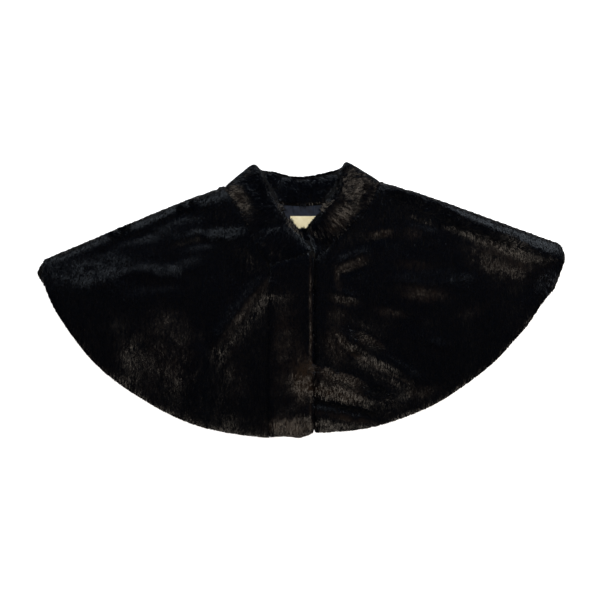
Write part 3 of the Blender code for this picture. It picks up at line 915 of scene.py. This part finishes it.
# %% Label
TAPE = 0.45 * MM
FOLD_WIDTH = 5 * MM
FOLD_RISE = 0.35 * MM
CORNER_RISE = 0.5 * MM
FOLD_SLOPE = 1.5 * MM
LABEL_GRID = (40, 20)
TAPE_DARK, TAPE_LIGHT = "d9c897", "fff6d2"
TAPE_ROUGHNESS, TAPE_SPECULAR = 0.7, 0.2
RIB, RIB_SHARE = 0.9 * MM, 0.35
RIB_BUMP, RIB_DEPTH, RIB_SWAY = 0.3, 0.2 * MM, 0.4
WAVE_BANDS = 20 / math.tau
WEAR_SIZE, WEAR_DETAIL = 7 * MM, 3.0
STITCHES = 7
STITCH_LENGTH, STITCH_WIDTH = 1.6 * MM, 0.45 * MM
STITCH_INSET = 1.5 * MM
STITCH_SIDES, STITCH_RINGS = 8, 5


def tape_material():
    # Woven polyester tape has fine ribs across it. They are drawn wider than real ones, so that they show.
    material, tree, shader = new_material("woven polyester tape")
    place = add_node(tree, "ShaderNodeTexCoord")
    ribs = add_node(
        tree, "ShaderNodeTexWave", {"Scale": 1 / (WAVE_BANDS * RIB), "Distortion": RIB_SWAY},
        {"Vector": place.outputs["Object"]}, bands_direction="Y",
    )
    wear = add_node(
        tree, "ShaderNodeTexNoise", {"Scale": 1 / WEAR_SIZE, "Detail": WEAR_DETAIL},
        {"Vector": place.outputs["Object"]},
    )
    part = add_node(tree, "ShaderNodeMath", {1: RIB_SHARE}, {0: ribs.outputs["Fac"]}, operation="MULTIPLY")
    both = add_node(
        tree, "ShaderNodeMath", links={0: part.outputs["Value"], 1: wear.outputs["Fac"]}, operation="ADD",
    )
    tree.links.new(blend(tree, both.outputs["Value"], TAPE_DARK, TAPE_LIGHT), shader.inputs["Base Color"])
    bump = add_node(
        tree, "ShaderNodeBump", {"Strength": RIB_BUMP, "Distance": RIB_DEPTH},
        {"Height": ribs.outputs["Fac"]},
    )
    tree.links.new(bump.outputs["Normal"], shader.inputs["Normal"])
    shader.inputs["Roughness"].default_value = TAPE_ROUGHNESS
    shader.inputs["Specular IOR Level"].default_value = TAPE_SPECULAR
    return material


TAPE_CLOTH = tape_material()


def label_piece():
    low, high = (Vector(corner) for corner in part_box("neck_label"))
    middle, size = (low + high) / 2, high - low
    bm = bmesh.new()
    bmesh.ops.create_grid(bm, x_segments=LABEL_GRID[0], y_segments=LABEL_GRID[1], size=0.5)
    bmesh.ops.scale(bm, verts=bm.verts[:], vec=(size.x, size.y, 1))
    for vert in bm.verts:
        from_end = size.x / 2 - abs(vert.co.x)
        fold = float(smooth_step((FOLD_WIDTH - from_end) / FOLD_SLOPE))
        corner = (2 * vert.co.x / size.x) ** 2 * max(0.0, -2 * vert.co.y / size.y) ** 2
        vert.co.z += FOLD_RISE * fold + CORNER_RISE * corner
    bmesh.ops.translate(bm, verts=bm.verts[:], vec=(middle.x, middle.y, low.z))
    bmesh.ops.solidify(bm, geom=bm.faces[:], thickness=-TAPE)
    bmesh.ops.recalc_face_normals(bm, faces=bm.faces[:])
    piece = linked("neck_tape", bm, TAPE_CLOTH)
    piece.data.shade_smooth()
    piece.data.set_sharp_from_angle(angle=SHARP_ANGLE)
    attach(piece, "root")
    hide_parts("neck_label")
    return piece


def label_stitches():
    low, high = (Vector(corner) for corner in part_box("neck_label"))
    bm = bmesh.new()
    for side in (-1, 1):
        x = (low.x + high.x) / 2 + side * ((high.x - low.x) / 2 - STITCH_INSET)
        for step in range(STITCHES):
            y = low.y + (high.y - low.y) * (step + 0.5) / STITCHES
            made = bmesh.ops.create_uvsphere(
                bm, u_segments=STITCH_SIDES, v_segments=STITCH_RINGS, radius=0.5,
            )["verts"]
            bmesh.ops.scale(bm, verts=made, vec=(STITCH_LENGTH, STITCH_WIDTH, STITCH_WIDTH))
            bmesh.ops.translate(bm, verts=made, vec=(x, y, low.z + FOLD_RISE + TAPE))
    piece = linked("label_stitches", bm, TAPE_CLOTH)
    piece.data.shade_smooth()
    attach(piece, "root")
    print("stitches:", 2 * STITCHES)
    return piece


label = label_piece()
stitches = label_stitches()

# %% [markdown]
# Each cloth is listed with the size that it was cut to and the pieces that it rests on, and its area is
# printed beside the area measured on its mesh. A flared panel is cut from a wider rectangle, so its own area
# is given too. The collar is a curved strip that is folded flat at its sides.

# %% Cuts
Cut = namedtuple("Cut", "width length area rests_on")
CUTS = {
    "back": Cut(0.905, 0.415, 0.268, []),
    "right_front": Cut(0.390, 0.420, 0.113, ["back_satin", "back_cloth"]),
    "left_front": Cut(0.430, 0.425, 0.127, ["back_satin", "back_cloth"]),
    "right_band": Cut(0.076, 0.320, 0.0235, ["left_front_cloth", "left_band_cloth"]),
    "left_band": Cut(0.073, 0.315, 0.0215, ["back_satin"]),
    "collar_outer": Cut(0.600, 0.065, 0.036, ["back_cloth"]),
    "collar_inner": Cut(0.580, 0.062, 0.027, ["collar_outer_cloth"]),
}


def half_surface(piece):
    return sum(face.area for face in piece.data.polygons) / 2


for node, cut in CUTS.items():
    print(node, "cut, square metres:", cut.area, "measured:", round(half_surface(cloth[node]), 4))
print("lining measured:", round(half_surface(lining), 4), "label measured:", round(half_surface(label), 5))
